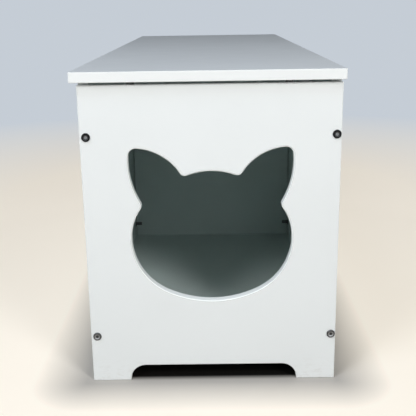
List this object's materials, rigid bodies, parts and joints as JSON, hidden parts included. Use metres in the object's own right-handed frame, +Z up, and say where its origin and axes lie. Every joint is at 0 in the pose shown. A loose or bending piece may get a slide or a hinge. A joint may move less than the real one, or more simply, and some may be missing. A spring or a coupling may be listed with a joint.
{
  "type": "cat litter box cabinet",
  "caption": "Long flip-top cat litter box cabinet: a board carcass with a cat-head opening in its end panel, an inner divider and a lid hinged along one side on gas struts.",
  "frame": {"origin": "on the ground under the middle of the lid's outline", "axes": "+Z up; +Y along the cabinet, away from the end with the cat opening; +X across it, towards the hinged long side"},
  "size_m": [0.413, 1.252, 0.509],
  "materials": {
    "white_board": "satin white melamine laminate on particle board",
    "inner_board": "satin grey-white melamine laminate on particle board",
    "cleat_timber": "planed, unfinished",
    "beech": "turned, unfinished",
    "bolt_steel": "dark nickel plate",
    "zinc_steel": "zinc plate",
    "black_metal": "satin black",
    "rod_chrome": "polished",
    "black_plastic": "moulded",
    "bumper_rubber": "matt"
  },
  "bodies": {
    "carcass": {"alignment_dowels": "beech", "back_board": "white_board", "back_cleat": "cleat_timber", "barrel_nuts": "zinc_steel", "cleat_screws": "zinc_steel", "divider": "inner_board", "divider_bracket_back_lower": "black_metal", "divider_bracket_back_upper": "black_metal", "divider_bracket_front_lower": "black_metal", "divider_bracket_front_upper": "black_metal", "divider_bracket_screws": "black_metal", "divider_screws": "zinc_steel", "entry_end_panel": "white_board", "entry_hinge_board_leaf": "zinc_steel", "entry_hinge_pin": "zinc_steel", "entry_panel_bolts": "bolt_steel", "entry_strut_clip": "zinc_steel", "entry_strut_post": "zinc_steel", "far_end_panel": "white_board", "far_hinge_board_leaf": "zinc_steel", "far_hinge_pin": "zinc_steel", "far_panel_bolts": "bolt_steel", "far_strut_clip": "zinc_steel", "far_strut_post": "zinc_steel", "floor_board": "inner_board", "floor_screws": "zinc_steel", "front_board": "white_board", "front_cleat": "cleat_timber", "hinge_board_screws": "zinc_steel", "lid_bumpers": "bumper_rubber", "middle_hinge_board_leaf": "zinc_steel", "middle_hinge_pin": "zinc_steel", "strut_post_screws": "zinc_steel"},
    "lid": {"entry_hinge_lid_leaf": "zinc_steel", "entry_strut_lid_bracket": "zinc_steel", "far_hinge_lid_leaf": "zinc_steel", "far_strut_lid_bracket": "zinc_steel", "hinge_lid_screws": "zinc_steel", "lid": "white_board", "middle_hinge_lid_leaf": "zinc_steel", "strut_lid_screws": "zinc_steel"},
    "strut_tubes": {"entry_strut_tube": "black_metal", "entry_strut_tube_eye": "black_plastic", "far_strut_tube": "black_metal", "far_strut_tube_eye": "black_plastic"},
    "strut_rods": {"entry_strut_rod": "rod_chrome", "entry_strut_rod_eye": "black_plastic", "entry_strut_top_pin": "zinc_steel", "far_strut_rod": "rod_chrome", "far_strut_rod_eye": "black_plastic", "far_strut_top_pin": "zinc_steel"}
  },
  "joints": [
    {"name": "lid_hinge", "type": "hinge", "parent": "carcass", "child": "lid", "pos_m": [0.204, 0, 0.49075], "axis": [0, 1, 0], "range_deg": [0, 80]},
    {"name": "strut_swing", "type": "hinge", "parent": "carcass", "child": "strut_tubes", "pos_m": [0.158, 0, 0.306], "axis": [0, 1, 0], "range_deg": [0, 8.41]},
    {"name": "strut_extend", "type": "slide", "parent": "strut_tubes", "child": "strut_rods", "axis": [-0.0345, 0, 0.9994], "range_m": [0, 0.06148]}
  ],
  "couplings": [
    {"joint": "strut_swing", "follows": "lid_hinge", "ratio": 0.10507},
    {"joint": "strut_extend", "follows": "lid_hinge", "m_per_rad": 0.044026}
  ]
}
